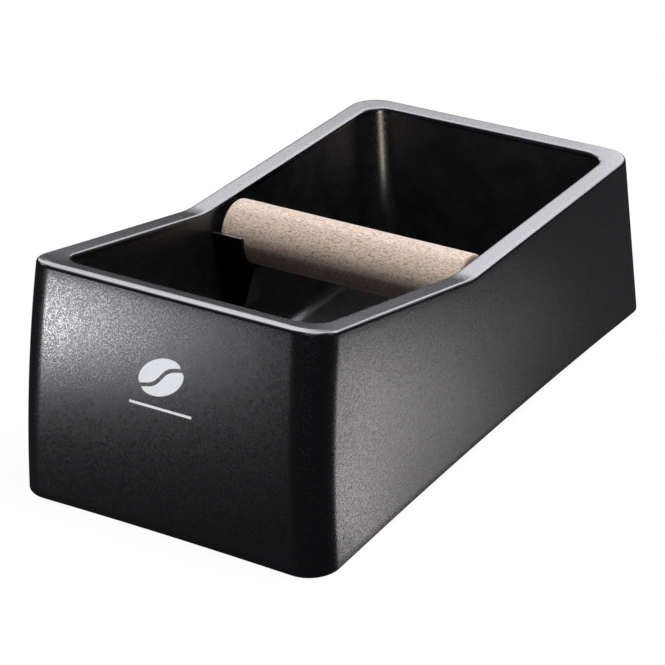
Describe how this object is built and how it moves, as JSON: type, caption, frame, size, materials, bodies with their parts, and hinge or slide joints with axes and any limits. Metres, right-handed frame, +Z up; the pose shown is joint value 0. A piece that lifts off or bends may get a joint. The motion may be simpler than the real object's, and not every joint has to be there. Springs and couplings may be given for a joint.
{
  "type": "espresso knock box",
  "caption": "Double-walled counter-top knock box with a tall sloping front, an open tub and a lift-out beech knock bar across it, on flat rubber feet.",
  "frame": {"origin": "on the table, under the middle of the body's outline", "axes": "+X across the body to the right, seen from the tall front; +Y along the body from the tall front to the low rear; +Z up"},
  "size_m": [0.15, 0.293, 0.1049],
  "materials": {
    "shell_plastic": "graphite, satin, fine moulded grain",
    "tub_plastic": "near black, satin, fine moulded grain",
    "bar_beech": "bare beech, sanded, fine flecks",
    "base_steel": "black powder coat",
    "screw_steel": "zinc plated",
    "foot_rubber": "matt"
  },
  "bodies": {
    "box": {"outer_shell": "shell_plastic", "inner_tub": "tub_plastic", "base_plate": "base_steel", "left_saddle": "tub_plastic", "right_saddle": "tub_plastic", "saddle_screws": "screw_steel", "base_screws": "screw_steel", "front_left_foot": "foot_rubber", "front_right_foot": "foot_rubber", "rear_left_foot": "foot_rubber", "rear_right_foot": "foot_rubber"},
    "bar": {"knock_bar": "bar_beech"}
  },
  "joints": [
    {"name": "bar_lift", "type": "slide", "parent": "box", "child": "bar", "axis": [0, 0, 1], "range_m": [0, 0.06]}
  ]
}
